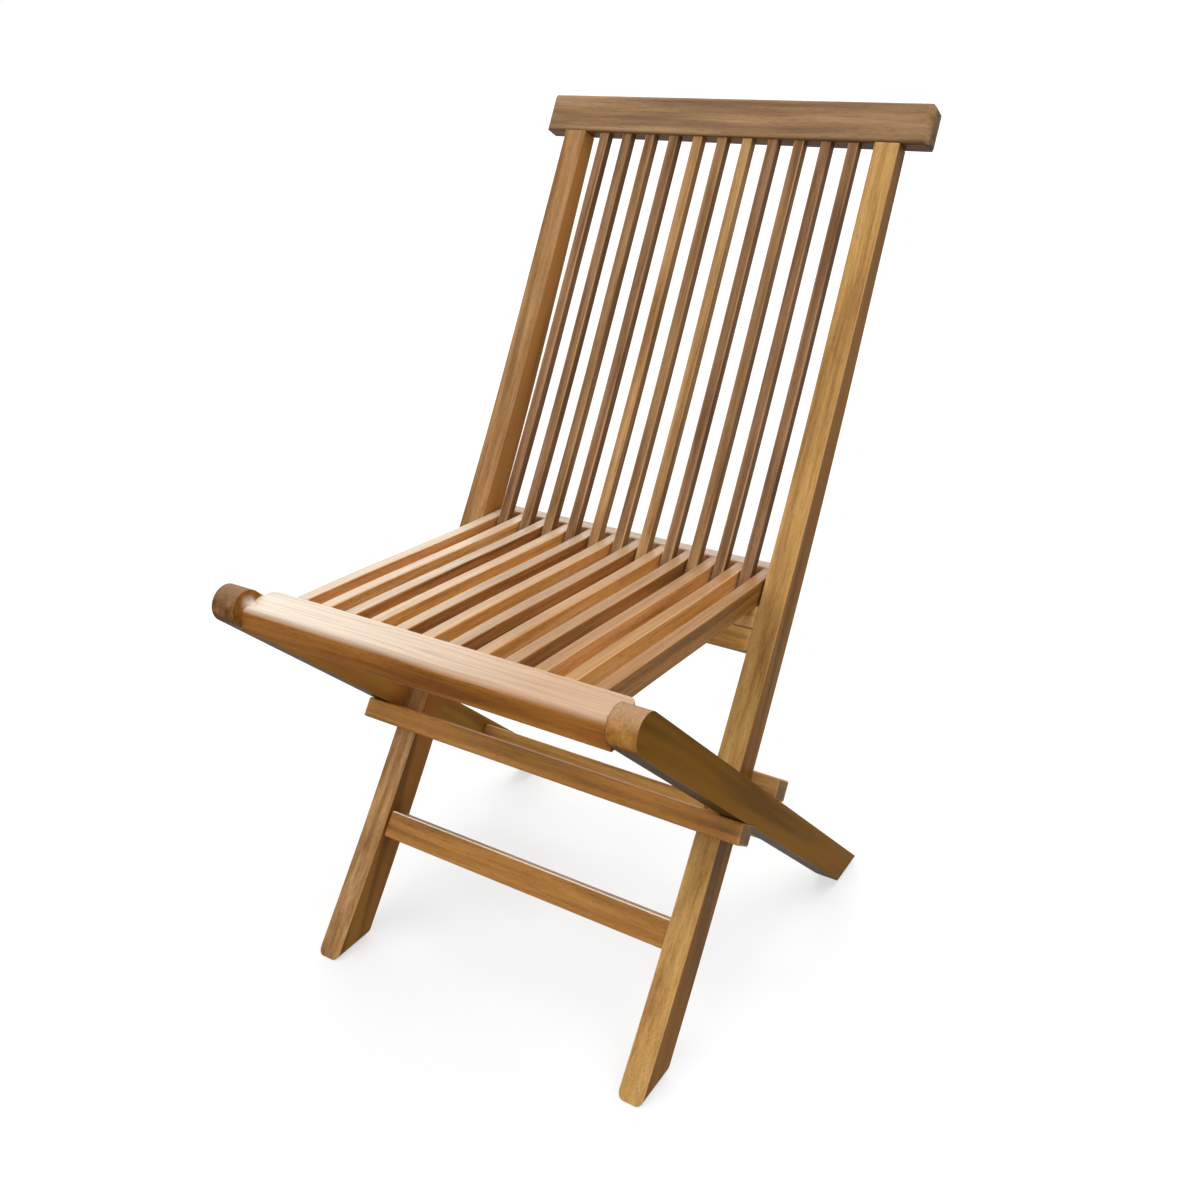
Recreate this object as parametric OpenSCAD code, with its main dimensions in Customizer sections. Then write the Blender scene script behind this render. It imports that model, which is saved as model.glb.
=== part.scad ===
// Folding slatted chair. The front faces -Y and the back leans towards +Y.
// The origin is on the floor, under the middle of the open chair's outer box.
// Side profiles are drawn in a work plane whose first axis is Y from the toe of the
// stiles and whose second axis is Z. side() turns them up and shifts them to the origin.

/* [Back frame] */
// Height of the open chair to the top of the back
chair_h = 880; // [850:1:910]
// Width over the two stiles
stile_span = 415; // [395:1:435]
// Width of one stile, seen from the front
stile_w = 27.4; // [24:0.1:32]
// Depth of a stile at the floor
foot_depth = 41; // [38:0.5:46]
// Depth of a stile at the height of the chair's top
tip_depth = 21.7; // [19:0.1:24]
// Lean of the stiles from the vertical at the floor, in degrees
foot_lean = 37.8; // [37:0.1:38.5]
// Lean of the straight upper part of the stiles, in degrees
back_lean = 28.4; // [27.6:0.1:29]
// Height at which the curved part of a stile runs out
bend_h = 645; // [600:5:680]

/* [Top rail] */
// Length of the top rail
top_rail_l = 479; // [460:1:490]
// Height of the top rail along the back
top_rail_h = 45.2; // [38:0.1:50]
// Thickness of the top rail
top_rail_t = 25; // [23:0.5:30]
// Rounding of the top rail's long edges
top_rail_r = 5; // [2:0.5:8]
// Rounding of the top rail's upper corners, seen from the front and from above
top_rail_end_r = 12; // [4:0.5:12]
// Rounding of the top rail's lower corners, seen from the front
top_rail_low_r = 6; // [2:0.5:12]

/* [Back slats] */
// Number of back slats, one less than the seat slats
back_slat_n = 11; // [11:1:11]
// Width of one back slat
back_slat_w = 11.8; // [9:0.1:13]
// Thickness of one back slat
back_slat_t = 12; // [9:0.1:13]
// Set-back of the back slats behind the front of the stiles
back_slat_in = 4.5; // [2:0.1:6]
// Length of slat held in each housing
housing = 7; // [4:0.5:9]

/* [Back rails] */
// Drop from the seat's underside at the rear to the lower back rail's front bottom edge
low_rail_drop = 37.6; // [30:0.1:46]
// Height of the lower back rail along the back
low_rail_h = 25; // [20:0.5:28]
// Thickness of the lower back rail and of the seat rest above it
low_rail_t = 26; // [20:0.5:30]
// Height of the front stretcher's front bottom edge
stretcher_z = 114; // [90:1:150]
// Height of the front stretcher along the stiles
stretcher_h = 29.3; // [24:0.5:34]
// Thickness of the front stretcher
stretcher_t = 24; // [18:0.5:28]
// Set-back of the front stretcher behind the front of the stiles
stretcher_in = 4; // [1:0.5:6]
// Length of the tenons on the rails between the stiles and between the legs
tenon_l = 14; // [8:0.5:18]

/* [Seat] */
// Height of the seat at its front edge
seat_h = 445.5; // [438:0.5:452]
// Distance of the seat's front face ahead of the toes of the stiles
seat_ahead = 49.9; // [46:0.5:54]
// Length of the seat from front to rear
seat_l = 395; // [392:0.5:400]
// Drop of the seat from its front edge to its rear edge
seat_drop = 19; // [14:0.5:22]
// Number of seat slats
seat_slat_n = 12; // [12:1:12]
// Distance from one seat slat to the next
seat_pitch = 31.07; // [30:0.01:31.3]
// Width of one seat slat
seat_slat_w = 13.8; // [12:0.1:15]
// Height of one seat slat
seat_slat_h = 24.9; // [22:0.1:27]
// Depth of the seat's front rail, front to rear
seat_front_d = 46; // [42:0.5:52]
// Height of the seat's front rail
seat_front_h = 28.2; // [26.5:0.1:30]
// Rounding of the front rail's rear corners, seen from above
seat_front_r = 10; // [4:0.5:14]
// Rounding of the front rail's upper front edge
seat_front_top_r = 8; // [3:0.5:10]
// Depth of the seat's rear rail, front to rear
seat_rear_d = 19; // [15:0.5:21]

/* [Rear legs] */
// Width of one rear leg, seen from the front
leg_w = 28.6; // [26:0.1:34]
// Depth of a rear leg, square to its length
leg_d = 37.6; // [35:0.1:40]
// Gap between a stile and the rear leg beside it
side_gap = 0.8; // [0.5:0.1:1.5]
// Rounding at the toe of a rear leg
toe_r = 7; // [4:1:18]
// Rounding of the side edges of all four feet, seen from the front
foot_r = 7; // [2:0.5:10]

/* [Cross rails of the rear legs] */
// Distance along the stile from the leg pivot to the near edge of each cross rail
cross_off = 13.5; // [13:0.1:16]
// Height of each cross rail along the stile
cross_h = 22.2; // [19:0.1:24]
// Thickness of each cross rail
cross_t = 27.7; // [22:0.1:30]
// Distance of the rear stretcher's near face from the seat pivot, along the leg
rear_str_at = 471.4; // [460:0.5:480]
// Height of the rear stretcher, square to the legs
rear_str_h = 24; // [20:0.5:26]
// Thickness of the rear stretcher along the legs
rear_str_t = 22; // [16:0.5:24]
// Depth of the rear stretcher's top face below the top line of the legs
rear_str_in = 7.1; // [4:0.1:8]

/* [Pivots] */
// Distance of the seat pivot behind the seat's front face
seat_pin_back = 10.7; // [10:0.1:12]
// Depth of the seat pivot below the seat's front edge
seat_pin_down = 7; // [6:0.1:8]
// Height on the stile's front face that the leg pivot lies square to
leg_pin_z = 241.4; // [238:0.1:245]
// Diameter of the four pivot pins
pin_d = 8; // [6:0.5:9]
// Length of pin held in each piece
pin_hold = 17.5; // [14:0.5:18.5]

/* [Hidden] */
$fn = 64;
pin_fit = 0.05;         // radial clearance of a pin in its bore
wood_fit = 0.1;         // clearance of a tenon or a housed slat, all round
stop_gap = 0.3;         // gap between faces that meet when the chair is open
edge_r = 2;             // rounding of the long edges of the rails
slot_gap = 14;          // gap from the back slats to the seat's rear rail
rest_in = 5;            // set-back of the level lip of the seat rest's top
rest_run = 60;          // run of the seat rest's top slope, past the rest's own rear
rest_up = 90;           // height drawn for the seat rest before its top is cut
over = 40;              // length drawn past a face that cuts a bar
reach = 1000;           // more than any side of the chair
steps = 24;             // straight steps along a curved profile

stile_x = stile_span / 2;
stile_in = stile_x - stile_w;
leg_in = stile_x + side_gap;
leg_x = leg_in + leg_w;

// Front line of the stiles: an arc that leaves the floor at foot_lean and is tangent
// at bend_h to a straight line at back_lean.
bend_r = bend_h / (sin(foot_lean) - sin(back_lean));
bend_y = bend_r * (cos(back_lean) - cos(foot_lean));
function lean(z) = z > bend_h ? back_lean : asin(sin(foot_lean) - z / bend_r);
function front_y(z) = z > bend_h ? bend_y + (z - bend_h) * tan(back_lean)
                                 : bend_r * (cos(lean(z)) - cos(foot_lean));
function up(z) = [sin(lean(z)), cos(lean(z))];
function inward(z) = [cos(lean(z)), -sin(lean(z))];
// Point at depth d behind the front line, square to it from the front point at height z
function behind(z, d) = [front_y(z), z] + d * inward(z);
function stile_depth(z) = foot_depth - (foot_depth - tip_depth) * pow(max(z, 0) / chair_h, 1.35);

// Height of the lower back rail's front bottom edge
low_rail_z = seat_h - seat_drop - seat_slat_h - low_rail_drop;

// The top rail's bottom edge, set so that the rounded top reaches chair_h
top_rail_z = chair_h - top_rail_h * cos(back_lean)
           + top_rail_r * (cos(back_lean) + sin(back_lean) - 1);

// Seat, by the distance u behind its front face
function seat_top(u) = seat_h - seat_drop * (u / seat_l / 2 + (1 - cos(180 * u / seat_l)) / 4);
function seat_point(u, down) = [u - seat_ahead, seat_top(u) - down];

// Pivots, as points of the work plane
seat_pin = [seat_pin_back - seat_ahead, seat_h - seat_pin_down];
leg_pin = behind(leg_pin_z, stile_depth(leg_pin_z) / 2);
nose_r = leg_d / 2;
// Slope of the rear legs below the horizontal: both pivots lie on their middle line
leg_slope = atan2(seat_pin[1] - leg_pin[1], leg_pin[0] - seat_pin[0]);
along = [cos(leg_slope), -sin(leg_slope)];      // down the rear legs
across = [sin(leg_slope), cos(leg_slope)];      // square to them, upwards
function on_leg(a, b) = seat_pin + a * along + b * across;
leg_end = (seat_pin[1] + nose_r * cos(leg_slope)) / sin(leg_slope);
toe_at = (seat_pin[1] - nose_r * cos(leg_slope)) / sin(leg_slope);

// Rear face of the back slats, met by a level line at the height of the seat's rear
slat_rear_z = seat_h - seat_drop + (back_slat_in + back_slat_t) * sin(back_lean);
seat_rear_u = behind(slat_rear_z, back_slat_in + back_slat_t)[0] + slot_gap + seat_ahead;
seat_end_u = seat_rear_u + seat_rear_d;

// The seat rest's top runs just under the seat slats
rest_y0 = front_y(low_rail_z) + rest_in;
rest_y1 = rest_y0 + rest_run;
function rest_line(y) = seat_top(y + seat_ahead) - seat_slat_h - stop_gap;

// Middle of the open chair's depth
nose_y = seat_pin[0] - nose_r;
rail_rear_y = front_y(top_rail_z) + (top_rail_h - top_rail_r) * sin(back_lean)
            + (top_rail_t - top_rail_r) * cos(back_lean) + top_rail_r;
mid_y = (nose_y + rail_rear_y) / 2;

back_names = [for (i = [1:back_slat_n]) str("back_slat_", i)];
seat_names = [for (i = [1:seat_slat_n]) str("seat_slat_", i)];

// ---- helpers ----

// Extrudes a side profile from x0 to x1
module side(x0, x1) {
    translate([x0, -mid_y, 0])
        rotate([90, 0, 90])
            linear_extrude(x1 - x0)
                children();
}

// Draws the children at both sides of the chair
module both() {
    children();
    mirror([1, 0, 0])
        children();
}

// Seen from the front: a bar from x0 to x1 and from the floor up, its foot's corners round
module foot_outline(x0, x1) {
    translate([0, reach, 0])
        rotate([90, 0, 0])
            linear_extrude(2 * reach)
                polygon([
                    each round_corner([x0, reach], [x0, 0], [x1, 0], foot_r),
                    each round_corner([x0, 0], [x1, 0], [x1, reach], foot_r),
                    [x1, reach], [x0, reach]
                ]);
}

// A round bar along X at point p of the work plane
module round_bar(p, r, x0, x1) {
    translate([x0, p[0] - mid_y, p[1]])
        rotate([0, 90, 0])
            cylinder(r = r, h = x1 - x0);
}

// Points of a quarter-like arc that rounds the corner b between a and c
function unit(v) = v / norm(v);
function round_corner(a, b, c, r) =
    let (p = unit(a - b), q = unit(c - b), half = acos(p * q) / 2,
         t = r / tan(half), m = b + unit(p + q) * (r / sin(half)),
         s = b + p * t - m, e = b + q * t - m,
         a0 = atan2(s[1], s[0]), turn = atan2(s[0] * e[1] - s[1] * e[0], s * e))
    [for (i = [0:6]) m + r * [cos(a0 + turn * i / 6), sin(a0 + turn * i / 6)]];
function rounded(pts, r) =
    let (n = len(pts))
    [for (i = [0:n - 1]) each round_corner(pts[(i + n - 1) % n], pts[i], pts[(i + 1) % n], r)];

function corners(l, h) = [[0, 0], [0, h], [l, h], [l, 0]];

// A bar's section, standing on the front line at height z: h tall, from depth d0 to d1
function section(z, h, d0, d1, m = 0) =
    let (o = [front_y(z), z] - m * up(z))
    [o + (d0 - m) * inward(z), o + (d0 - m) * inward(z) + (h + 2 * m) * up(z),
     o + (d1 + m) * inward(z) + (h + 2 * m) * up(z), o + (d1 + m) * inward(z)];

// A strip that follows the front line from height z0 to z1, between two depths
module strip(z0, z1, d0, d1) {
    zs = [for (i = [0:steps]) z0 + (z1 - z0) * i / steps];
    polygon([
        for (z = zs) behind(z, d0),
        for (i = [steps:-1:0]) behind(zs[i], d1)
    ]);
}

// A strip of the seat from u0 to u1, h tall, with m added all round
module seat_strip(u0, u1, h, m = 0) {
    us = [for (i = [0:steps]) u0 - m + (u1 - u0 + 2 * m) * i / steps];
    polygon([
        for (u = us) seat_point(u, -m),
        for (i = [steps:-1:0]) seat_point(us[i], h + m)
    ]);
}

function back_x(i) = (i - (back_slat_n + 1) / 2) * seat_pitch;
function seat_x(i) = (i - (seat_slat_n + 1) / 2) * seat_pitch;

// Tenon of a rail: its section drawn in by a quarter of the rail's thickness
function tenon(z, h, d0, d1, m = 0) = section(z, h, d0, d1, m - (d1 - d0) / 4);
stretcher_d1 = stretcher_in + stretcher_t;
function stretcher_tenon(m) = tenon(stretcher_z, stretcher_h, stretcher_in, stretcher_d1, m);
function low_rail_tenon(m) = tenon(low_rail_z, low_rail_h, 0, low_rail_t, m);

// ---- back frame ----

module stile_profile() {
    zs = [for (i = [0:2 * steps]) -over + (top_rail_z + over) * i / (2 * steps)];
    intersection() {
        polygon([
            for (z = zs) behind(z, 0),
            for (i = [2 * steps:-1:0]) behind(zs[i], stile_depth(zs[i]))
        ]);
        translate([-reach / 2, 0])
            square([2 * reach, reach]);
    }
}

module stile() {
    difference() {
        intersection() {
            side(stile_in, stile_x)
                stile_profile();
            foot_outline(stile_in, stile_x);
        }
        side(stile_in - 1, stile_in + tenon_l + wood_fit)
            polygon(stretcher_tenon(wood_fit));
        side(stile_in - 1, stile_in + tenon_l + wood_fit)
            polygon(low_rail_tenon(wood_fit));
        round_bar(leg_pin, pin_d / 2 + pin_fit, stile_x - pin_hold - stop_gap, stile_x + 1);
    }
}

module left_stile() {
    color("#B98F52")
        stile();
}

module right_stile() {
    color("#B98F52")
        mirror([1, 0, 0])
            stile();
}

module rail_between(x, t) {
    side(-x, x)
        children(0);
    side(-x - t, x + t)
        children(1);
}

module front_stretcher() {
    color("#A9743F")
        rail_between(stile_in, tenon_l) {
            polygon(rounded(section(stretcher_z, stretcher_h, stretcher_in, stretcher_d1), edge_r));
            polygon(stretcher_tenon(0));
        }
}

module lower_back_rail() {
    color("#8A5F38")
        rail_between(stile_in, tenon_l) {
            polygon(section(low_rail_z, low_rail_h, 0, low_rail_t));
            polygon(low_rail_tenon(0));
        }
}

// The half plane above the top of the seat rest, lowered by d
module above_rest(d) {
    polygon([
        [rest_y0 - rest_run, rest_line(rest_y0) - d], [rest_y0, rest_line(rest_y0) - d],
        [rest_y1, rest_line(rest_y1) - d], [rest_y1 + reach, rest_line(rest_y1) - d],
        [rest_y1 + reach, reach], [rest_y0 - rest_run, reach]
    ]);
}

// Back slat profile, held in the seat rest below and the top rail above, m larger all round
module back_slat_profile(m = 0) {
    intersection() {
        strip(low_rail_z, top_rail_z + (housing + m) * cos(back_lean),
              back_slat_in - m, back_slat_in + back_slat_t + m);
        above_rest(housing + m);
    }
}

module back_slat(i, m = 0) {
    side(back_x(i) - back_slat_w / 2 - m, back_x(i) + back_slat_w / 2 + m)
        back_slat_profile(m);
}

module seat_rest() {
    rest_z = low_rail_z + low_rail_h * cos(lean(low_rail_z));
    base = section(low_rail_z, low_rail_h, 0, low_rail_t);
    color("#B98F52")
        difference() {
            side(-stile_in, stile_in)
                difference() {
                    polygon([
                        base[1], base[1] + rest_up * up(rest_z), base[2] + rest_up * up(rest_z), base[2]
                    ]);
                    above_rest(0);
                }
            for (i = [1:back_slat_n])
                back_slat(i, wood_fit);
        }
}

// The front outline of the top rail from its corners, lower left first: upper and lower
// corners have their own rounding
function end_outline(c) = [
    each round_corner(c[3], c[0], c[1], top_rail_low_r),
    each round_corner(c[0], c[1], c[2], top_rail_end_r),
    each round_corner(c[1], c[2], c[3], top_rail_end_r),
    each round_corner(c[2], c[3], c[0], top_rail_low_r)
];

module top_rail() {
    foot = [front_y(top_rail_z), top_rail_z];
    color("#8E6A48")
        difference() {
            intersection() {
                side(-top_rail_l / 2, top_rail_l / 2)
                    polygon(rounded(section(top_rail_z, top_rail_h, 0, top_rail_t), top_rail_r));
                // Front outline and plan with their round corners, laid square to the back
                translate([0, foot[0] - mid_y, foot[1]])
                    rotate([90 - back_lean, 0, 0])
                        intersection() {
                            translate([-top_rail_l / 2, 0, -2 * top_rail_t])
                                linear_extrude(4 * top_rail_t)
                                    polygon(end_outline(corners(top_rail_l, top_rail_h)));
                            translate([-top_rail_l / 2, 2 * top_rail_h, -top_rail_t])
                                rotate([90, 0, 0])
                                    linear_extrude(4 * top_rail_h)
                                        polygon(rounded(corners(top_rail_l, top_rail_t), top_rail_end_r));
                        }
            }
            for (i = [1:back_slat_n])
                back_slat(i, wood_fit);
        }
}

// ---- rear legs ----

// The front cross rail lies against the front of the stiles, below the leg pivot. The
// rear cross rail is the same bar turned half a turn about the pivot, against their rear.
cross_d = stile_depth(leg_pin_z) / 2;
function turned(p) = 2 * leg_pin - p;
cross_base = leg_pin - (cross_d + stop_gap) * inward(leg_pin_z) - cross_off * up(leg_pin_z);
front_cross = [
    cross_base, cross_base - cross_t * inward(leg_pin_z),
    cross_base - cross_t * inward(leg_pin_z) - cross_h * up(leg_pin_z),
    cross_base - cross_h * up(leg_pin_z)
];
rear_cross = [for (p = front_cross) turned(p)];

function rear_str(m) = [
    on_leg(rear_str_at - m, nose_r - rear_str_in + m),
    on_leg(rear_str_at - m, nose_r - rear_str_in - rear_str_h - m),
    on_leg(rear_str_at + rear_str_t + m, nose_r - rear_str_in - rear_str_h - m),
    on_leg(rear_str_at + rear_str_t + m, nose_r - rear_str_in + m)
];

// Round nose of a rear leg about the seat pivot, from its top line to its underside
nose = [for (i = [0:36]) seat_pin + nose_r * (cos(5 * i) * across - sin(5 * i) * along)];

module leg_profile() {
    toe = on_leg(toe_at, -nose_r);
    heel = on_leg(leg_end, nose_r);
    difference() {
        polygon([
            each nose,
            each round_corner(nose[36], toe, heel, toe_r),
            each round_corner(toe, heel, nose[0], 2 * edge_r)
        ]);
        polygon(rounded(front_cross, edge_r));
        polygon(rounded(rear_cross, edge_r));
    }
}

module rear_leg() {
    difference() {
        intersection() {
            side(leg_in, leg_x)
                leg_profile();
            foot_outline(leg_in, leg_x);
        }
        for (p = [seat_pin, leg_pin])
            round_bar(p, pin_d / 2 + pin_fit, leg_in - 1, leg_in + pin_hold + stop_gap);
        side(leg_in - 1, leg_in + tenon_l + wood_fit)
            polygon(rear_str(wood_fit - rear_str_t / 4));
    }
}

module left_rear_leg() {
    color("#6B4A24")
        rear_leg();
}

module right_rear_leg() {
    color("#6B4A24")
        mirror([1, 0, 0])
            rear_leg();
}

module front_cross_rail() {
    color("#96643A")
        side(-leg_x, leg_x)
            polygon(rounded(front_cross, edge_r));
}

module rear_cross_rail() {
    color("#8A5F38")
        side(-leg_x, leg_x)
            polygon(rounded(rear_cross, edge_r));
}

module rear_stretcher() {
    color("#9A6F47")
        rail_between(leg_in, tenon_l) {
            polygon(rounded(rear_str(0), edge_r));
            polygon(rear_str(-rear_str_t / 4));
        }
}

module pins(p, x) {
    color("#B59A5B")
        both()
            round_bar(p, pin_d / 2, x - pin_hold, leg_in + pin_hold);
}

module leg_pivot_pins() {
    pins(leg_pin, stile_x);
}

module seat_pivot_pins() {
    pins(seat_pin, seat_front_x);
}

// ---- seat ----

seat_front_x = leg_in - stop_gap;
flare_r = nose_r - seat_pin_down;

// The end of the front rail flares up to the round nose of the rear leg in a cove
module seat_rail_flare() {
    translate([0, seat_pin[0] - mid_y, seat_pin[1]])
        rotate([0, 90, 0])
            rotate_extrude()
                difference() {
                    translate([0, seat_front_x - flare_r])
                        square([nose_r, flare_r]);
                    translate([nose_r, seat_front_x - flare_r])
                        circle(r = flare_r);
                }
}

module seat_slat(i, m = 0) {
    side(seat_x(i) - seat_slat_w / 2 - m, seat_x(i) + seat_slat_w / 2 + m)
        seat_slat_profile(m);
}

// Seat slat with a short, lower tongue at each end, hidden in the front and rear rails
module seat_slat_profile(m = 0) {
    tongue = seat_slat_h / 4;
    if (m == 0)
        seat_strip(seat_front_d, seat_rear_u, seat_slat_h);
    intersection() {
        seat_strip(seat_front_d - housing, seat_rear_u + housing, seat_slat_h, m);
        translate([0, -tongue])
            seat_strip(0, seat_end_u, seat_slat_h - 2 * tongue, m);
    }
}

module seat_front_rail() {
    front = [
        seat_point(0, 0), seat_point(seat_front_d, 0),
        [seat_front_d - seat_ahead, seat_h - seat_front_h], [-seat_ahead, seat_h - seat_front_h]
    ];
    color("#C79C6E")
        difference() {
            union() {
                intersection() {
                    side(-seat_front_x, seat_front_x)
                        polygon([
                            each round_corner(front[3], front[0], front[1], seat_front_top_r),
                            front[1],
                            front[2],
                            each round_corner(front[2], front[3], front[0], edge_r + 1)
                        ]);
                    // Plan of the rail with its rear corners rounded
                    translate([0, front[1][0] - mid_y, 0])
                        linear_extrude(reach)
                            polygon([
                                [-seat_front_x, -2 * seat_front_d], [seat_front_x, -2 * seat_front_d],
                                each round_corner([seat_front_x, -2 * seat_front_d],
                                                  [seat_front_x, 0], [0, 0], seat_front_r),
                                each round_corner([0, 0], [-seat_front_x, 0],
                                                  [-seat_front_x, -2 * seat_front_d], seat_front_r)
                            ]);
                }
                both()
                    seat_rail_flare();
            }
            both()
                round_bar(seat_pin, pin_d / 2 + pin_fit,
                          seat_front_x - pin_hold - stop_gap, seat_front_x + 1);
            for (i = [1:seat_slat_n])
                seat_slat(i, wood_fit);
        }
}

module seat_rear_rail() {
    color("#B98A5A")
        difference() {
            side(seat_x(1) - seat_slat_w / 2, seat_x(seat_slat_n) + seat_slat_w / 2)
                seat_strip(seat_rear_u, seat_end_u, seat_slat_h);
            for (i = [1:seat_slat_n])
                seat_slat(i, wood_fit);
        }
}

slat_tones = ["#C99A66", "#A56A2C", "#7A5030", "#B07A3C"];

right_stile();
left_stile();
top_rail();
lower_back_rail();
seat_rest();
front_stretcher();
for (i = [1:back_slat_n])
    color(slat_tones[i % 4]) back_slat(i);
right_rear_leg();
left_rear_leg();
front_cross_rail();
rear_cross_rail();
rear_stretcher();
leg_pivot_pins();
seat_front_rail();
seat_rear_rail();
for (i = [1:seat_slat_n])
    color(slat_tones[i % 4]) seat_slat(i);
seat_pivot_pins();
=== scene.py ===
# %% [markdown]
# # A folding slatted chair in oiled teak
#
# The chair is a kit of straight and gently curved bars. The construction file already
# holds every bar at its real size, so this lesson leaves the shapes alone. It rounds
# their edges as a carpenter's block plane would, and then spends its effort on the wood:
# each bar is its own board, with its own tone, grain and run of the figure.

# %% Load the chair
import math

import bpy
from mathutils import Matrix, Vector

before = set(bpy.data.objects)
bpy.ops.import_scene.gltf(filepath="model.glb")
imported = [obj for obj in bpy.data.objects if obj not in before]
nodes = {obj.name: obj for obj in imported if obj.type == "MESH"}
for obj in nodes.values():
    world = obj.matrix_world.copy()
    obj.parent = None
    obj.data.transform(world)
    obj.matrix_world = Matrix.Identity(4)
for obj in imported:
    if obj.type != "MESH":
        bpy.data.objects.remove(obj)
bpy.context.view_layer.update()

# %% [markdown]
# ## Colours
#
# Colours are written as sRGB hex, the way a paint chart gives them. Blender's shaders
# work on linear light, so one function turns the one into the other. Where only the
# amount of light matters, a second function makes a neutral grey from a linear level.


# %% Colour helpers
def linear(hex_colour):
    """sRGB hex to linear RGBA: a channel c becomes ((c + 0.055) / 1.055) to the power 2.4."""
    channels = [int(hex_colour[i:i + 2], 16) / 255 for i in (1, 3, 5)]
    curve = [c / 12.92 if c <= 0.04045 else ((c + 0.055) / 1.055) ** 2.4 for c in channels]
    return (*curve, 1)


def grey(level):
    """A neutral colour of the given linear level."""
    return (level, level, level, 1)


WHITE = grey(1)
print("warm teak in linear light:", [round(c, 3) for c in linear("#B98F52")])

# %% [markdown]
# ## Eased edges
#
# On the real chair every long edge is eased by a few strokes of plane and sandpaper, one
# to two and a half millimetres deep, and it is that thin round that catches the light.
# The bars could be rebuilt with rounded sections, but a stack of modifiers does it on the
# bars as they are. Weld joins the loose triangles, Decimate dissolves the seams inside
# each flat face, and Bevel rounds whatever is left sharper than about thirty degrees and
# gives the new faces the second material, the rubbed edge with its painted highlight. A
# small geometry node group then shades every face smooth, and Weighted Normal leans the
# shading towards the large faces, so that flats stay flat.

# %% Smooth shading as a modifier
smooth = bpy.data.node_groups.new("shade smooth", "GeometryNodeTree")
smooth.interface.new_socket("Geometry", in_out="INPUT", socket_type="NodeSocketGeometry")
smooth.interface.new_socket("Geometry", in_out="OUTPUT", socket_type="NodeSocketGeometry")
shader = smooth.nodes.new("GeometryNodeSetShadeSmooth")
smooth.links.new(smooth.nodes.new("NodeGroupInput").outputs[0], shader.inputs["Geometry"])
smooth.links.new(shader.outputs["Geometry"], smooth.nodes.new("NodeGroupOutput").inputs[0])
print("node group:", smooth.name)

# %% Ease the edges of a bar
MM = 0.001
JOINED = 1e-6                   # corners closer than this, in metres, are one
FLAT = math.radians(0.05)       # faces closer to one plane than this are one
SHARP = math.radians(32)        # edges sharper than this are eased
WIDE, NARROW = 2.5 * MM, 1.3 * MM


def ease(node, width):
    """Rounds the sharp edges of a bar with a live modifier stack; the mesh stays as it is."""
    weld = node.modifiers.new("weld", "WELD")
    weld.merge_threshold = JOINED
    flat = node.modifiers.new("flat faces", "DECIMATE")
    flat.decimate_type = "DISSOLVE"
    flat.angle_limit = FLAT
    bevel = node.modifiers.new("eased edges", "BEVEL")
    bevel.width = width
    bevel.segments = 3
    bevel.limit_method = "ANGLE"
    bevel.angle_limit = SHARP
    bevel.use_clamp_overlap = True
    bevel.material = 1
    shade = node.modifiers.new("shade smooth", "NODES")
    shade.node_group = smooth
    lean_flat = node.modifiers.new("weighted normals", "WEIGHTED_NORMAL")
    lean_flat.weight = 100
    lean_flat.keep_sharp = True


wooden = [name for name in nodes if "pins" not in name]
for name in wooden:
    ease(nodes[name], NARROW if "slat" in name else WIDE)
print("eased bars:", len(wooden))

# %% [markdown]
# ## Tools for materials
#
# A material is a tree of nodes. One small function adds a node with its settings and its
# links in a single call, and a few more wrap the nodes that come back again and again.


# %% Node helpers
def add(tree, kind, links=None, **settings):
    """Adds a node, sets its properties and its input values, and links its inputs."""
    node = tree.nodes.new(kind)
    for key, value in settings.items():
        setattr(node, key, value)
    for socket, value in (links or {}).items():
        if isinstance(value, bpy.types.NodeSocket):
            tree.links.new(value, node.inputs[socket])
        else:
            node.inputs[socket].default_value = value
    return node


def ramp(tree, factor, stops):
    """A colour ramp from (place, colour) pairs."""
    node = add(tree, "ShaderNodeValToRGB", {"Fac": factor})
    marks = node.color_ramp.elements
    while len(marks) < len(stops):
        marks.new(0.5)
    for mark, (place, colour) in zip(marks, stops):
        mark.position = place
        mark.color = colour
    return node.outputs["Color"]


def mix(tree, factor, first, second, blend="MIX"):
    """Two colours laid over each other; 6 and 7 are the Mix node's colour inputs."""
    return add(tree, "ShaderNodeMix", {"Factor": factor, 6: first, 7: second},
               data_type="RGBA", blend_type=blend).outputs[2]


def remap(tree, value, low, high, to_low=0.0, to_high=1.0):
    """Turns low to high into to_low to to_high, and holds the value beyond both ends."""
    return add(tree, "ShaderNodeMapRange", {
        "Value": value, "From Min": low, "From Max": high,
        "To Min": to_low, "To Max": to_high,
    }).outputs["Result"]


def maths(tree, operation, first, second=0.5):
    """One sum on one or two values."""
    return add(tree, "ShaderNodeMath", {0: first, 1: second}, operation=operation).outputs[0]


def empty_material(name):
    """A new material and its tree, with no node in it yet."""
    material = bpy.data.materials.new(name)
    material.use_nodes = True
    material.node_tree.nodes.clear()
    return material, material.node_tree


def dress(node, *materials):
    """Gives a node its material, and a second one for its eased edges."""
    node.data.materials.clear()
    for material in materials:
        node.data.materials.append(material)


print("helpers:", [tool.__name__ for tool in (add, ramp, mix, remap, maths, dress)])

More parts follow.
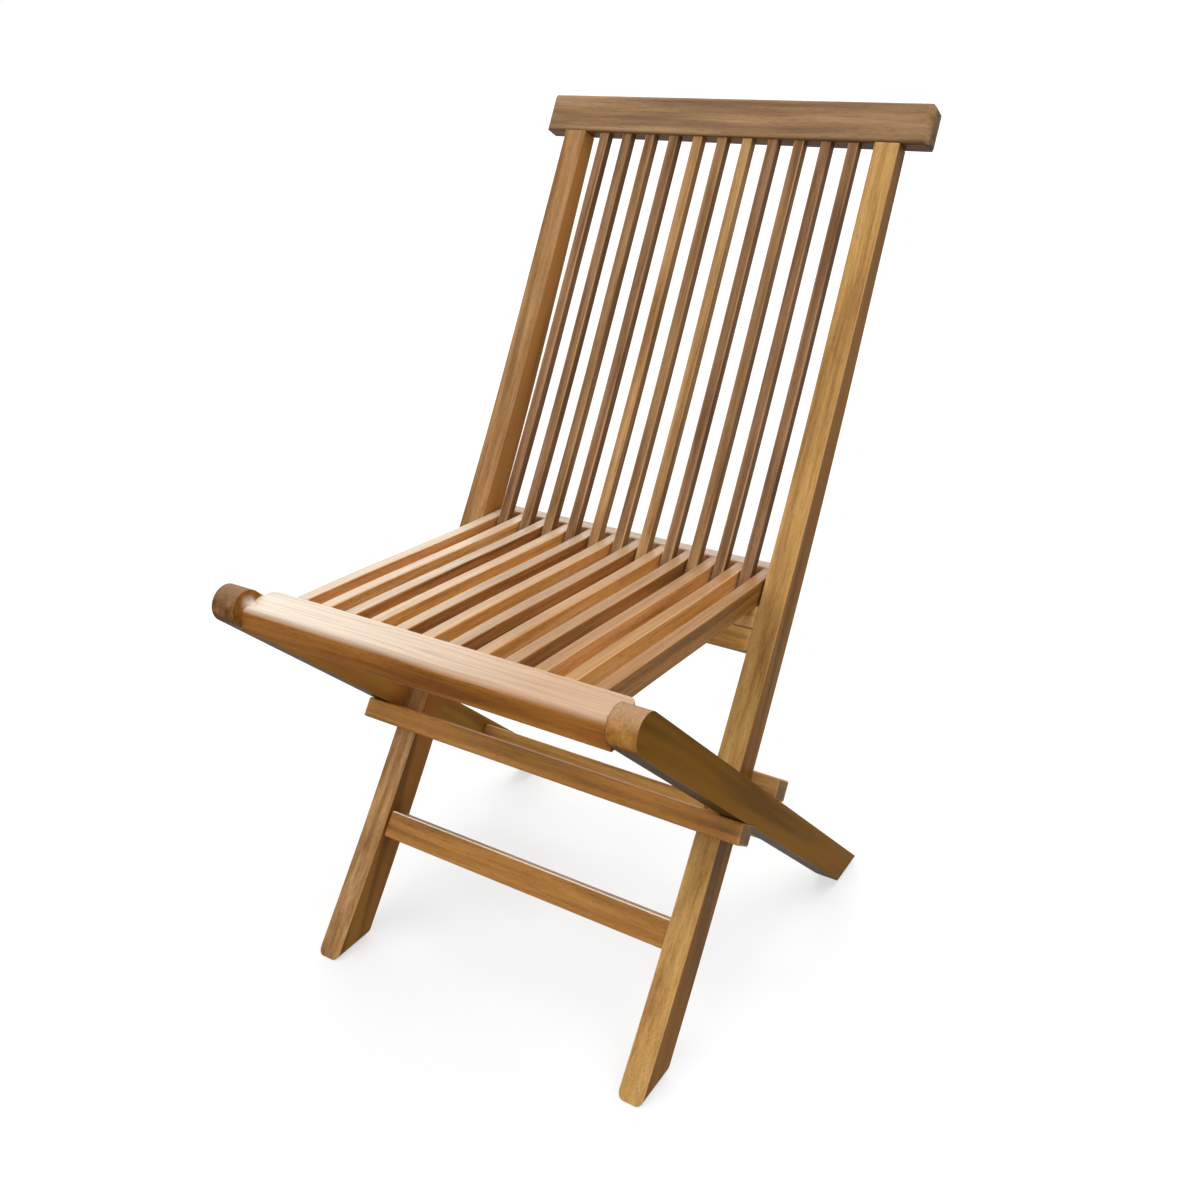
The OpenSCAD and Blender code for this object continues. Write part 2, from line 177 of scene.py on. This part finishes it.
# %% [markdown]
# ## The figure of teak
#
# Oiled teak is golden brown with darker, purplish streaks of heartwood. Close up it
# shows three things at three scales: broad streaks about a centimetre wide that run far
# along the board, fine growth lines about two and a half millimetres apart, and open
# pores, dark dashes a few tenths of a millimetre wide. The pores are drawn half a
# millimetre wide here so that they show. Two slower changes lie over all that: bands
# two centimetres wide on the flanks, and cloudy patches four to five centimetres wide.
#
# The figure could be a painted texture, but then every board would repeat. It is worked out
# in space instead. A Mapping node turns the object's own coordinates so that the grain runs
# along the board, and moves each board to a different part of the tree. A second noise then
# bends the grain a little, so that no line on the board is quite straight.

# %% Scales of the figure
# Width across the grain, length as a multiple of it, octaves of detail, their roughness
STREAK = (9 * MM, 22, 2.0, 0.5)
GROWTH = (2.4 * MM, 60, 3.0, 0.6)
PORE = (0.5 * MM, 24, 1.0, 0.5)
PATCH = (45 * MM, 4, 2.0, 0.5)
BAND = (22 * MM, 16, 1.0, 0.5)

NEXT_BOARD = (0.37, 0.213, 0.157)       # metres in the tree from one board to the next
DRIFT = (5, 22, 22)                     # bends of the grain per metre, along and across
BEND = (0, 9 * MM, 9 * MM)              # how far a bend carries the grain


def sawn(tree, where, along, seed):
    """Places in the tree for places on the board: X runs along the grain, slightly bent."""
    turn = Vector(along).normalized().rotation_difference(Vector((1, 0, 0)))
    board = add(tree, "ShaderNodeMapping", {
        "Vector": where, "Location": [step * seed for step in NEXT_BOARD],
        "Rotation": turn.to_euler(),
    }).outputs["Vector"]
    slow = add(tree, "ShaderNodeMapping", {"Vector": board, "Scale": DRIFT}).outputs["Vector"]
    drift = add(tree, "ShaderNodeTexNoise", {
        "Vector": slow, "Scale": 1.0, "Detail": 2.0,
    }).outputs["Color"]
    bend = add(tree, "ShaderNodeVectorMath", {0: drift, 1: BEND}, operation="MULTIPLY")
    bent = add(tree, "ShaderNodeVectorMath", {
        0: board, 1: bend.outputs["Vector"],
    }, operation="ADD")
    return bent.outputs["Vector"]


def figure(tree, grain, width, stretch, detail, rough):
    """Noise whose cells are width across the grain and stretch times as long."""
    size = 1 / width
    place = add(tree, "ShaderNodeMapping", {
        "Vector": grain, "Scale": (size / stretch, size, size),
    }).outputs["Vector"]
    return add(tree, "ShaderNodeTexNoise", {
        "Vector": place, "Scale": 1.0, "Detail": detail, "Roughness": rough,
    }).outputs["Fac"]


print("growth lines", GROWTH[0] / MM, "mm apart, pores", PORE[0] / MM, "mm wide")

# %% [markdown]
# ## Painted light and shade
#
# The faces that look up get a paler tone, a painted highlight for the light that falls on
# them from above. A face that looks sideways gets a tone of its own: painted shade on most
# bars, and painted light on the shaded inner face of the right rear leg. A face that looks
# down gets a darker tone, painted shade. Each could be a material of its own on faces picked
# by hand. Here the object's own normal says which face is which, so one material does for the
# whole bar, and a face keeps its tone when the chair is folded. The painted highlight on the
# seat is stronger on the chair's right, so a tone may be given as a pair of colours, which
# then runs from the chair's right-hand side to its left.

# %% Faces with painted light and shade
FADE_FROM, FADE_TO = -190 * MM, 130 * MM    # where a pair of colours begins and ends
COVER = 0.88                                # how far a painted tone of light or shade hides the board's
# The part of the normal at which a painted tone begins and is full. The painted top light
# begins at the board's own wrap: only on flat tops, or far round a nose and the seat's rounded
# front
FLAT_TOP, NOSE, UPPER_FULL = 0.8, 0.3, 0.92
FLANK_FROM, FLANK_FULL = 0.70, 0.92
UNDER_FROM, UNDER_FULL = 0.30, 0.70
UPPER_DEPTH, FLANK_DEPTH, UNDER_DEPTH = 0.14, 0.36, 0.20    # how deep the figure is there


def paint_light_and_shade(tree, where, board, faces):
    """Lays painted light and shade over a board's colour. Each face is the part of the normal
    that picks it, the values at which its tone begins and is full, its one or two colours,
    the figure that shows in it and how deep that figure is."""
    across = add(tree, "ShaderNodeSeparateXYZ", {"Vector": where}).outputs["X"]
    side = remap(tree, across, FADE_FROM, FADE_TO)
    for facing, begins, full, colours, marks, depth in faces:
        if colours:
            amount = remap(tree, facing, begins, full, to_high=COVER)
            tint = ramp(tree, side, [(0, linear(colours[0])), (1, linear(colours[-1]))])
            shades = [(0.40, grey(1 - depth)), (0.5, WHITE), (0.60, grey(1 + depth / 2))]
            grained = mix(tree, 1.0, tint, ramp(tree, marks, shades), "MULTIPLY")
            board = mix(tree, amount, board, grained)
    return board


print("pairs of colours run over", round((FADE_TO - FADE_FROM) / MM), "mm of the width")

# %% [markdown]
# ## Oiled teak
#
# The colour starts from the board's three tones along its streaks. Growth lines, pores and
# patches then darken it in turn, and painted light and shade go over the faces that look up,
# sideways and down. Hands and sandpaper rub an eased edge paler, in some places more than
# in others, and a painted highlight lies over that wear. The oil leaves a satin skin: rough
# enough to have no mirror, smooth enough for a soft sheen, and a little smoother between the
# growth lines. Growth lines and pores also stand in relief, by a quarter of a millimetre at
# most.

# %% Teak
# The light that each mark lets through, from its heart outwards, and how strongly it shows
LINES = [(0.30, (0.62, 0.54, 0.47, 1)), (0.46, (0.96, 0.94, 0.92, 1)), (0.62, WHITE)], 0.7
DASHES = [(0.32, (0.40, 0.32, 0.26, 1)), (0.43, WHITE)], 0.5
CLOUDS = [(0.3, (0.80, 0.77, 0.75, 1)), (0.6, WHITE)], 0.8

SPREAD, TIGHTER = 0.30, 0.18    # reach of a calm board's tones, less this for the figure
PALE_EDGE_LEAST, PALE_EDGE_MOST = 0.1, 0.75       # how far the eased edges are rubbed paler and painted as highlight
ROUGH, SATIN = 0.50, 0.36       # roughness on the growth lines and between them
RELIEF = 0.25 * MM
PORE_SHARE = 0.6                # relief of the pores against that of the growth lines


def teak(name, along, tones, seed, streaks, painted_top_light, painted_side_shading, painted_under_shade, wrap, sheen, edge_wear_and_highlight=None):
    """Oiled teak. along is the grain's direction, tones are its dark, middle and light
    colours, seed picks the part of the tree that the board was cut from, and streaks is
    how strongly the figure shows. The next three are the colours painted as light and shade
    on the faces that look up, sideways and down, and the last is that of the eased edges,
    paler from wear and from a painted highlight. wrap is how far round a curved face the
    painted top light reaches, as the least upward part of the normal. sheen is the shader's
    Specular IOR Level, far below one half because dry wood mirrors little."""
    material, tree = empty_material(name)
    coordinates = add(tree, "ShaderNodeTexCoord").outputs
    grain = sawn(tree, coordinates["Object"], along, seed)
    broad, growth, pores, patches, band = [
        figure(tree, grain, *scale) for scale in (STREAK, GROWTH, PORE, PATCH, BAND)]

    dark, middle, light = [linear(tone) for tone in tones]
    spread = SPREAD - TIGHTER * streaks
    colour = ramp(tree, broad, [(0.5 - spread, dark), (0.5, middle), (0.5 + spread, light)])
    for marks, (stops, strength) in ((growth, LINES), (pores, DASHES), (patches, CLOUDS)):
        colour = mix(tree, strength, colour, ramp(tree, marks, stops), "MULTIPLY")

    way = add(tree, "ShaderNodeSeparateXYZ", {"Vector": coordinates["Normal"]}).outputs
    sideways = maths(tree, "ABSOLUTE", way["X"])
    down = maths(tree, "MULTIPLY", way["Z"], -1.0)
    # Painted light on the faces that look up, painted shading on the flanks, painted shade on
    # the faces that look down
    colour = paint_light_and_shade(tree, coordinates["Object"], colour, (
        (way["Z"], wrap, UPPER_FULL, painted_top_light, growth, UPPER_DEPTH),
        (sideways, FLANK_FROM, FLANK_FULL, painted_side_shading, band, FLANK_DEPTH),
        (down, UNDER_FROM, UNDER_FULL, painted_under_shade, broad, UNDER_DEPTH)))
    # The eased edges are rubbed paler, with a painted highlight over the wear, more in some
    # patches than in others
    if edge_wear_and_highlight:
        worn_and_highlit = remap(tree, patches, 0.35, 0.65, PALE_EDGE_LEAST, PALE_EDGE_MOST)
        colour = mix(tree, worn_and_highlit, colour, linear(edge_wear_and_highlight))

    relief = maths(tree, "ADD", growth, maths(tree, "MULTIPLY", pores, PORE_SHARE))
    bump = add(tree, "ShaderNodeBump", {
        "Height": relief, "Strength": 0.4, "Distance": RELIEF,
    }).outputs["Normal"]
    skin = add(tree, "ShaderNodeBsdfPrincipled", {
        "Base Color": colour, "Roughness": remap(tree, growth, 0.3, 0.7, ROUGH, SATIN),
        "Normal": bump, "Specular IOR Level": sheen,
    })
    add(tree, "ShaderNodeOutputMaterial", {"Surface": skin.outputs["BSDF"]})
    return material


print("a growth line lets through", LINES[0][0][1][:3], "of red, green and blue")

# %% [markdown]
# ## Which board went where
#
# A maker takes boards as they come off the stack, so neighbours differ. Thirteen tones of
# teak are named below, each by its dark, middle and light colour, and each bar is given one
# of them; the top rail has its own. The amber and the sand tones are raised well above the
# wood's own as painted light, for faces that lie in shade: the seat slats' sides and the
# rails beneath the seat. The grain runs the length of the bar, and four directions serve them
# all: the lean of the back, the slope of the rear legs, the run of the seat slats, and the
# width of the chair.

# %% Tones and directions
BROWN = ("#684A34", "#856344", "#987558")
FAWN = ("#705134", "#926F4A", "#A6835C")
GOLD = ("#7E5B35", "#A0784C", "#B89264")
STRAW = ("#896742", "#AC8656", "#C19D6A")
TAN = ("#966D41", "#B48C50", "#C59D64")
SADDLE = ("#845D31", "#A87537", "#B9864A")
COPPER = ("#784818", "#976126", "#AA7634")
HONEY = ("#B4824A", "#DEA868", "#EABE88")
# A tone raised well above the wood's own as painted light, for the seat slats' sides in the
# shade of their neighbours
AMBER_PAINTED_LIGHT = ("#D0944E", "#FABA68", "#FCD090")
UMBER = ("#7E552C", "#B07C44", "#C6965E")
WALNUT = ("#52371E", "#75502E", "#906A45")
# A tone raised well above the wood's own as painted light, for the rails beneath the seat,
# which lie in its shade
SAND_PAINTED_LIGHT = ("#A87844", "#CC9854", "#DAAA66")
ROSE = ("#A87C58", "#C89C78", "#DDB692")
TOP_RAIL = ("#765A42", "#937351", "#A68865")
# The rails' ends: partly the dark of end grain, partly painted shade on the ends that face
# sideways
END_GRAIN_AND_PAINTED_SHADE = ["#725018"]
# Painted highlight on the seat's top faces, paler on the chair's right than on its left
SEAT_TOP_PAINTED_HIGHLIGHT = ["#BCAE9A", "#956F4A"]
# Paler tone of the eased edges: rubbed wear with a painted highlight
RUBBED_AND_HIGHLIT = "#C99B68"

BACK_LEAN, LEG_SLOPE = math.radians(28.4), math.radians(42.1)
LEAN = (0, math.sin(BACK_LEAN), math.cos(BACK_LEAN))
LEG = (0, math.cos(LEG_SLOPE), -math.sin(LEG_SLOPE))
SEAT = (0, 1, -0.05)
WIDTH = (1, 0, 0)
print("the back leans", round(math.degrees(BACK_LEAN), 1), "degrees")

# %% Choose the boards
# For each bar: the grain's direction, the tones, the strength of the figure, then the
# painted light on its upper faces and the painted shading of its flanks, where it has them
boards = {
    "right_stile": (LEAN, GOLD, 0.3, None, ["#B67D3C"]),
    "left_stile": (LEAN, TAN, 0.4, None, ["#84561E"]),
    "top_rail": (WIDTH, TOP_RAIL, 0.5, None, ["#6C563E"]),
    "lower_back_rail": (WIDTH, SAND_PAINTED_LIGHT, 0.4, None, None),
    "seat_rest": (WIDTH, HONEY, 0.4, ["#C0A888"], None),
    "front_stretcher": (WIDTH, SADDLE, 0.2, ["#F4E8D4"], None),
    "right_rear_leg": (LEG, WALNUT, 0.4, ["#83644C"], ["#C89246"]),
    "left_rear_leg": (LEG, SADDLE, 0.4, ["#A08062"], ["#80560E"]),
    "front_cross_rail": (WIDTH, SADDLE, 0.2, None, END_GRAIN_AND_PAINTED_SHADE),
    "rear_cross_rail": (WIDTH, TAN, 0.4, None, END_GRAIN_AND_PAINTED_SHADE),
    "rear_stretcher": (WIDTH, SAND_PAINTED_LIGHT, 0.4, None, None),
    "seat_front_rail": (WIDTH, COPPER, 0.3, ["#CDC3B3", "#B6997E"], None),
    "seat_rear_rail": (WIDTH, ROSE, 0.3, ["#C2B09A"], None),
}
back_tones = [BROWN, BROWN, FAWN, BROWN, GOLD, FAWN, STRAW, BROWN, FAWN, BROWN, BROWN]
for i, tones in enumerate(back_tones):
    boards[f"back_slat_{i + 1}"] = (LEAN, tones, 0.5, None, None)
# The amber slats carry painted light on their sides, which lie in the shade of their neighbours
seat_tones = [HONEY, AMBER_PAINTED_LIGHT, UMBER, AMBER_PAINTED_LIGHT, UMBER, AMBER_PAINTED_LIGHT,
              UMBER, AMBER_PAINTED_LIGHT, UMBER, HONEY, AMBER_PAINTED_LIGHT, SADDLE]
for i, tones in enumerate(seat_tones):
    boards[f"seat_slat_{i + 1}"] = (SEAT, tones, 0.4, SEAT_TOP_PAINTED_HIGHLIGHT, None)
print("boards:", len(boards))

# %% Finish the boards
# The rear legs are the driest, the back keeps a little oil, and the rest a little more
SHEEN = {"rear_leg": 0.01, "stile": 0.03, "back_slat": 0.03}
OILED = 0.07
# Painted shade on the faces that look down, darkest beneath the rear legs
UNDERSIDE_PAINTED_SHADE, LEG_UNDERSIDE_PAINTED_SHADE = ["#643A08"], ["#352810"]
rounded = ("left_rear_leg", "right_rear_leg", "seat_front_rail")

for seed, (name, (along, tones, streaks, painted_top_light, painted_side_shading)) in enumerate(boards.items(), start=1):
    title = "oiled teak " + name.replace("_", " ")
    painted_under_shade = LEG_UNDERSIDE_PAINTED_SHADE if "rear_leg" in name else UNDERSIDE_PAINTED_SHADE
    wrap = NOSE if name in rounded else FLAT_TOP
    sheen = next((level for part, level in SHEEN.items() if part in name), OILED)
    board = (along, tones, seed, streaks, painted_top_light, painted_side_shading, painted_under_shade, wrap, sheen)
    dress(nodes[name], teak(title, *board), teak(title + " edge", *board, RUBBED_AND_HIGHLIT))
print("teak materials:", 2 * len(boards))

# %% [markdown]
# ## Brass pins
#
# The pins sit in blind holes and only show when the chair is taken apart. Turned brass
# keeps the rings of the tool, here about one and a half millimetres apart, and a few
# darker stains.

# %% Brass
RING = math.pi / 2 * MM
STAINS = 120.0                  # per metre
POLISHED, STAINED = 0.28, 0.45  # roughness of clean and of stained brass


def turned_brass(name):
    """Brass with rings round the X axis. A wave texture draws them into the bump; it has
    twenty radians to the unit, which sets its scale."""
    material, tree = empty_material(name)
    where = add(tree, "ShaderNodeTexCoord").outputs["Object"]
    rings = add(tree, "ShaderNodeTexWave", {
        "Vector": where, "Scale": 2 * math.pi / (20 * RING), "Distortion": 0.2,
    }, wave_type="BANDS", bands_direction="X").outputs["Fac"]
    stain = add(tree, "ShaderNodeTexNoise", {"Vector": where, "Scale": STAINS}).outputs["Fac"]
    bump = add(tree, "ShaderNodeBump", {
        "Height": rings, "Strength": 0.3, "Distance": 0.05 * MM,
    }).outputs["Normal"]
    skin = add(tree, "ShaderNodeBsdfPrincipled", {
        "Base Color": ramp(tree, stain, [(0.35, linear("#8C7036")), (0.65, linear("#C8A85C"))]),
        "Metallic": 1.0, "Roughness": remap(tree, stain, 0.0, 1.0, POLISHED, STAINED),
        "Normal": bump,
    })
    add(tree, "ShaderNodeOutputMaterial", {"Surface": skin.outputs["BSDF"]})
    return material


brass = turned_brass("turned brass")
for name in ("leg_pivot_pins", "seat_pivot_pins"):
    dress(nodes[name], brass)
print("pins finished in", brass.name)

# %% [markdown]
# ## The studio
#
# The chair stands on a sheet of matt white paper under three wide, soft lamps, as in a
# catalogue. The paper and the world look white to the camera and to reflections, through
# Light Path, while the light that reaches the wood stays at a plain level. The paper still
# takes the chair's shadow: where the lamps reach it, it comes up to white, and in the shade
# it does not.


# %% Floor
def looked_at(tree):
    """One for a ray from the camera, a reflection or a transmission, and nought otherwise."""
    rays = add(tree, "ShaderNodeLightPath").outputs
    direct = maths(tree, "MAXIMUM", rays["Is Camera Ray"], rays["Is Glossy Ray"])
    return maths(tree, "MAXIMUM", direct, rays["Is Transmission Ray"])


FLOOR_SIZE, FLOOR_HEIGHT = 60.0, -0.5 * MM
LIFT = 0.62         # light that brings the lit paper up to white for whoever looks
half = FLOOR_SIZE / 2
corners = [(-half, -half), (half, -half), (half, half), (-half, half)]
floor_mesh = bpy.data.meshes.new("studio floor")
floor_mesh.from_pydata([(x, y, FLOOR_HEIGHT) for x, y in corners], [], [(0, 1, 2, 3)])
floor = bpy.data.objects.new("studio floor", floor_mesh)
bpy.context.scene.collection.objects.link(floor)

# Rolled paper has a faint mottle. Its own tone is kept low, so that it lights the wood
# from below no more than a real floor would
paper, tree = empty_material("matt white paper")
mottle = add(tree, "ShaderNodeTexNoise", {"Scale": 400.0, "Detail": 2.0}).outputs["Fac"]
matt = add(tree, "ShaderNodeBsdfPrincipled", {
    "Base Color": ramp(tree, mottle, [(0.3, grey(0.29)), (0.7, grey(0.31))]),
    "Roughness": 0.9,
}).outputs["BSDF"]
glow = add(tree, "ShaderNodeEmission", {"Color": WHITE, "Strength": LIFT}).outputs["Emission"]
lifted = add(tree, "ShaderNodeAddShader", {0: matt, 1: glow}).outputs["Shader"]
laid = add(tree, "ShaderNodeMixShader", {"Fac": looked_at(tree), 1: matt, 2: lifted})
add(tree, "ShaderNodeOutputMaterial", {"Surface": laid.outputs["Shader"]})
dress(floor, paper)
print("floor laid at", FLOOR_HEIGHT)

# %% World
AMBIENT = 0.26
world = bpy.data.worlds.new("studio")
bpy.context.scene.world = world
world.use_nodes = True
sky = world.node_tree
sky.nodes.clear()
ambient, white = [
    add(sky, "ShaderNodeBackground", {"Color": WHITE, "Strength": strength}).outputs[0]
    for strength in (AMBIENT, 1.0)]
shown = add(sky, "ShaderNodeMixShader", {"Fac": looked_at(sky), 1: ambient, 2: white})
add(sky, "ShaderNodeOutputWorld", {"Surface": shown.outputs["Shader"]})
print("light from the surroundings:", AMBIENT)


# %% Lamps
def soft_sun(name, height, turn, width, power):
    """A wide, even light from far off. height and turn are the angles of the lamp's place
    above the floor and round from +X, and width is how wide the lamp looks, in degrees."""
    data = bpy.data.lights.new(name, "SUN")
    data.angle = math.radians(width)
    data.energy = power
    made = bpy.data.objects.new(name, data)
    bpy.context.scene.collection.objects.link(made)
    h, t = math.radians(height), math.radians(turn)
    towards = Vector((math.cos(h) * math.cos(t), math.cos(h) * math.sin(t), math.sin(h)))
    made.location = towards * 3
    made.rotation_mode = "QUATERNION"
    made.rotation_quaternion = towards.to_track_quat("Z", "Y")
    return made


lamps = [
    soft_sun("overhead", 70, 20, 50, 1.9),
    soft_sun("window behind", 30, 123, 50, 1.8),
    soft_sun("front fill", 38, 245, 60, 2.3),
]
print("lamps:", [made.name for made in lamps])

# %% [markdown]
# ## The camera
#
# The camera stands at the front, to the sitter's left, and looks down on the seat by
# about twenty-one degrees, with a lens a little wider than a normal one. Its axes are
# worked out from three angles: the turn round the chair, the dip and a slight roll. The
# lens is shifted, as on a view camera, to set the chair in the middle of the picture.

# %% Camera
TURN, DIP, ROLL = (math.radians(angle) for angle in (32.26, 21.09, -0.57))
PLACE = Vector((0.6686, -1.04256, 0.9588))
forward = Vector((-math.sin(TURN) * math.cos(DIP), math.cos(TURN) * math.cos(DIP),
                  -math.sin(DIP)))
level = Vector((math.cos(TURN), math.sin(TURN), 0))
upward = level.cross(forward)
right = level * math.cos(ROLL) + upward * math.sin(ROLL)
up = upward * math.cos(ROLL) - level * math.sin(ROLL)
axes = Matrix((right, up, -forward)).transposed().to_4x4()

lens = bpy.data.cameras.new("camera")
lens.sensor_width = 36
lens.lens = 37.9
lens.shift_x, lens.shift_y = -0.0023, -0.0733
camera = bpy.data.objects.new("camera", lens)
bpy.context.scene.collection.objects.link(camera)
camera.matrix_world = Matrix.Translation(PLACE) @ axes
bpy.context.scene.camera = camera
print("camera looks from", [round(v, 3) for v in PLACE])

# %% Picture settings
bpy.context.scene.view_settings.view_transform = "Standard"
